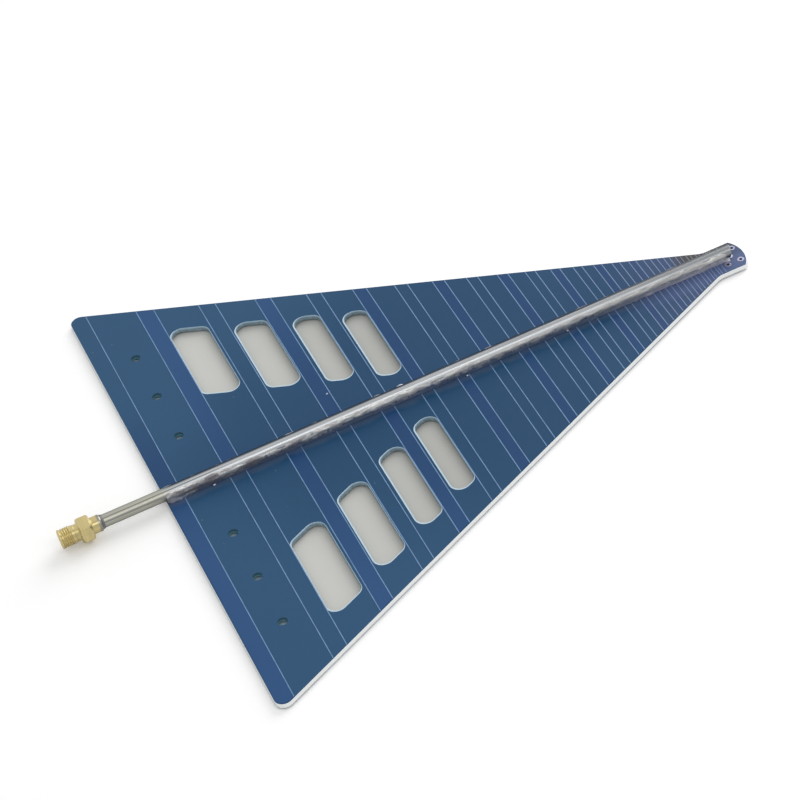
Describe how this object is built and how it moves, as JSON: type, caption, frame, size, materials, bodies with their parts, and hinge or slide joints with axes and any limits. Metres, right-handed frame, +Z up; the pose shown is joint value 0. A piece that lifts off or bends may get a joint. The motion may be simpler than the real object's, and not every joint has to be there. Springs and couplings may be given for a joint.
{
  "type": "log-periodic antenna",
  "caption": "Flat triangular circuit-board antenna with alternating dipole strips, a rigid coaxial line soldered along its middle and a threaded brass jack behind the rear edge.",
  "frame": {"origin": "on the jack's axis in its reference plane, at the floor of the jack's mouth", "axes": "+X along the coaxial line from the jack to the tip, +Z up from the board's upper face, which carries the line"},
  "size_m": [0.2332, 0.1992, 0.0091],
  "materials": {
    "laminate": "satin",
    "coated_copper": "satin",
    "print": "matte",
    "tin": "satin",
    "tinned_tube": "satin",
    "white_plastic": "matte",
    "wire": "satin",
    "solder": "satin",
    "brass": "polished",
    "gilt": "polished"
  },
  "bodies": {
    "root": {"board": "laminate", "upper_copper": "coated_copper", "lower_copper": "coated_copper", "printed_lines": "print", "eyelets": "tin", "coax_tube": "tinned_tube", "coax_core": "white_plastic", "centre_conductor": "wire", "solder_seam": "solder", "feed_joint": "solder", "jack_body": "brass", "jack_insulator": "white_plastic", "jack_contact": "gilt", "jack_solder": "solder"}
  },
  "joints": []
}
